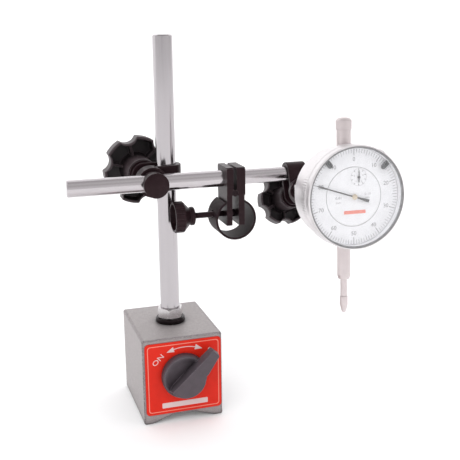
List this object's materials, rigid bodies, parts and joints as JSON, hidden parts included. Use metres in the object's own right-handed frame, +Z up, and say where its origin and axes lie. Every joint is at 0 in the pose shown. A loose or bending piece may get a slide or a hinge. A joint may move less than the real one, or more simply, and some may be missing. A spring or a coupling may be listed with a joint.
{
  "type": "dial indicator on magnetic base",
  "caption": "Dial gauge with a sprung plunger on an adjustable rod arm and column, held by a block-shaped switchable magnetic base.",
  "frame": {"origin": "centre of the base's foot, on the centre line of its V groove, in the plane the foot rests on", "axes": "+Z up along the column; the dial and the switch face -Y; +X is to the viewer's right"},
  "size_m": [0.1857, 0.1126, 0.2328],
  "materials": {
    "base_paint": "hammertone grey enamel",
    "label": "satin printed plate",
    "blackened": "blackened steel, satin",
    "knob_plastic": "moulded, satin",
    "lever_plastic": "moulded, matte",
    "polished": "polished chrome",
    "zinc": "bright zinc",
    "steel": "ground steel",
    "satin_chrome": "satin chrome",
    "brass": "machined brass",
    "ferrite": "sintered magnet",
    "dial_white": "matte white enamel",
    "gasket": "matte",
    "marker": "matte",
    "crystal": "clear acrylic",
    "hand": "satin",
    "spring_blue": "blued spring steel"
  },
  "bodies": {
    "base": {"pole_left": "base_paint", "pole_right": "base_paint", "pole_spacers": "brass", "switch_label": "label", "stop_pin": "steel", "rear_plug": "base_paint", "post_washer": "blackened", "post_nut": "zinc"},
    "magnet_switch": {"rotor_magnet": "ferrite", "rotor_shoes": "steel", "rotor_cap": "brass", "switch_knob": "lever_plastic"},
    "column": {"post": "polished"},
    "column_clamp": {"post_strap": "blackened", "large_knob_washer": "zinc"},
    "arm_holder": {"clamp_bolt": "blackened", "saddle_collar": "blackened"},
    "large_knob": {"star_knob_large": "knob_plastic", "large_knob_insert": "brass"},
    "arm": {"arm_rod": "polished", "fixed_jaw": "blackened", "pivot_pin": "steel", "c_spring": "blackened"},
    "tip_pad": {"screw_pad": "steel"},
    "fine_adjuster": {"fine_screw": "blackened", "fine_knob": "blackened"},
    "front_arm": {"moving_jaw": "blackened", "front_rod": "polished"},
    "end_clamp": {"rod_strap": "blackened", "small_knob_washer": "zinc"},
    "end_holder": {"holder_bolt": "blackened", "holder_collar": "blackened"},
    "small_knob": {"star_knob_small": "knob_plastic", "small_knob_insert": "brass"},
    "lug_pin": {"lug_rod": "zinc", "lug_screw": "zinc"},
    "indicator": {"case_body": "satin_chrome", "back_cover": "satin_chrome", "cover_screws": "steel", "stem": "satin_chrome", "dust_tube": "satin_chrome", "dust_cap": "satin_chrome", "movement_bridges": "brass", "dial_centre": "dial_white", "return_spring": "spring_blue", "hairspring": "spring_blue"},
    "bezel_lock": {"bezel_clamp_screw": "zinc"},
    "plunger": {"spindle": "satin_chrome", "contact_point": "steel"},
    "bezel": {"bezel_ring": "satin_chrome", "crystal": "crystal", "crystal_gasket": "gasket", "dial_ring": "dial_white"},
    "left_marker": {"limit_marker_left": "marker"},
    "right_marker": {"limit_marker_right": "marker"},
    "main_hand": {"pointer_hand": "hand", "centre_pinion": "brass"},
    "counter": {"counter_hand": "hand", "take_up_gear": "brass"},
    "rack_wheel": {"transfer_gear": "brass"}
  },
  "joints": [
    {"name": "switch_turn", "type": "hinge", "parent": "base", "child": "magnet_switch", "pos_m": [0, -0.03, 0.031], "axis": [0, -1, 0], "range_deg": [0, 110]},
    {"name": "column_turn", "type": "hinge", "parent": "base", "child": "column", "pos_m": [0, 0, 0.06], "axis": [0, 0, 1], "range_deg": [-170, 170]},
    {"name": "clamp_height", "type": "slide", "parent": "column", "child": "column_clamp", "axis": [0, 0, 1], "range_m": [-0.03, 0.055]},
    {"name": "arm_swing", "type": "hinge", "parent": "column_clamp", "child": "arm_holder", "pos_m": [-0.0123, 0, 0.1487], "axis": [0, -1, 0], "range_deg": [-15, 45]},
    {"name": "large_knob_spin", "type": "hinge", "parent": "arm_holder", "child": "large_knob", "pos_m": [-0.0123, 0.02, 0.1487], "axis": [0, 1, 0], "continuous": true},
    {"name": "arm_reach", "type": "slide", "parent": "arm_holder", "child": "arm", "axis": [1, 0, 0], "range_m": [-0.015, 0.025]},
    {"name": "fine_tilt", "type": "hinge", "parent": "arm", "child": "front_arm", "pos_m": [0.035, -0.0192, 0.141], "axis": [0, -1, 0], "range_deg": [-1.5, 1.5]},
    {"name": "pad_push", "type": "slide", "parent": "arm", "child": "tip_pad", "axis": [1, 0, 0], "range_m": [-0.0005, 0.0005]},
    {"name": "fine_screw_turn", "type": "hinge", "parent": "arm", "child": "fine_adjuster", "pos_m": [0, -0.0192, 0.127], "axis": [1, 0, 0], "range_deg": [-220, 220]},
    {"name": "end_clamp_turn", "type": "hinge", "parent": "front_arm", "child": "end_clamp", "pos_m": [0.0762, -0.0192, 0.1487], "axis": [1, 0, 0], "range_deg": [-45, 60]},
    {"name": "holder_swivel", "type": "hinge", "parent": "end_clamp", "child": "end_holder", "pos_m": [0.0762, -0.02365, 0.13648], "axis": [0, 0.9397, -0.342], "range_deg": [-12, 12]},
    {"name": "small_knob_spin", "type": "hinge", "parent": "end_holder", "child": "small_knob", "pos_m": [0.0762, -0.00955, 0.13135], "axis": [0, 0.9397, -0.342], "continuous": true},
    {"name": "lug_pin_slide", "type": "slide", "parent": "end_holder", "child": "lug_pin", "axis": [1, -0.0021, -0.0057], "range_m": [-0.002, 0.004]},
    {"name": "indicator_tilt", "type": "hinge", "parent": "lug_pin", "child": "indicator", "pos_m": [0.093, -0.03853, 0.14179], "axis": [1, -0.0021, -0.0057], "range_deg": [-20, 20]},
    {"name": "bezel_lock_spin", "type": "hinge", "parent": "indicator", "child": "bezel_lock", "pos_m": [0.11502, -0.05442, 0.16204], "axis": [0.7353, 0.0484, 0.676], "continuous": true},
    {"name": "plunger_slide", "type": "slide", "parent": "indicator", "child": "plunger", "axis": [0.0059, 0.0732, 0.9973], "range_m": [0, 0.01], "stiffness_N_per_m": 60, "springref_m": -0.008, "deforming": ["return_spring"]},
    {"name": "bezel_turn", "type": "hinge", "parent": "indicator", "child": "bezel", "pos_m": [0.09294, -0.06854, 0.14269], "axis": [0.0017, 0.9973, -0.0732], "continuous": true},
    {"name": "left_marker_turn", "type": "hinge", "parent": "bezel", "child": "left_marker", "pos_m": [0.09294, -0.06954, 0.14277], "axis": [0.0017, 0.9973, -0.0732], "range_deg": [-25, 25]},
    {"name": "right_marker_turn", "type": "hinge", "parent": "bezel", "child": "right_marker", "pos_m": [0.09294, -0.06954, 0.14277], "axis": [0.0017, 0.9973, -0.0732], "range_deg": [-25, 25]},
    {"name": "main_hand_turn", "type": "hinge", "parent": "indicator", "child": "main_hand", "pos_m": [0.09295, -0.06356, 0.14233], "axis": [0.0017, 0.9973, -0.0732], "range_deg": [-5, 3605]},
    {"name": "counter_turn", "type": "hinge", "parent": "indicator", "child": "counter", "pos_m": [0.09602, -0.05777, 0.15291], "axis": [0.0017, 0.9973, -0.0732], "range_deg": [-361, 1]},
    {"name": "rack_wheel_turn", "type": "hinge", "parent": "indicator", "child": "rack_wheel", "pos_m": [0.08989, -0.05937, 0.13101], "axis": [0.0017, 0.9973, -0.0732], "range_deg": [-361, 1]}
  ],
  "couplings": [
    {"joint": "pad_push", "follows": "fine_tilt", "m_per_rad": 0.014},
    {"joint": "fine_screw_turn", "follows": "fine_tilt", "ratio": -125.66},
    {"joint": "main_hand_turn", "follows": "plunger_slide", "rad_per_m": 6283.2},
    {"joint": "counter_turn", "follows": "plunger_slide", "rad_per_m": -628.32},
    {"joint": "rack_wheel_turn", "follows": "plunger_slide", "rad_per_m": -628.32}
  ]
}
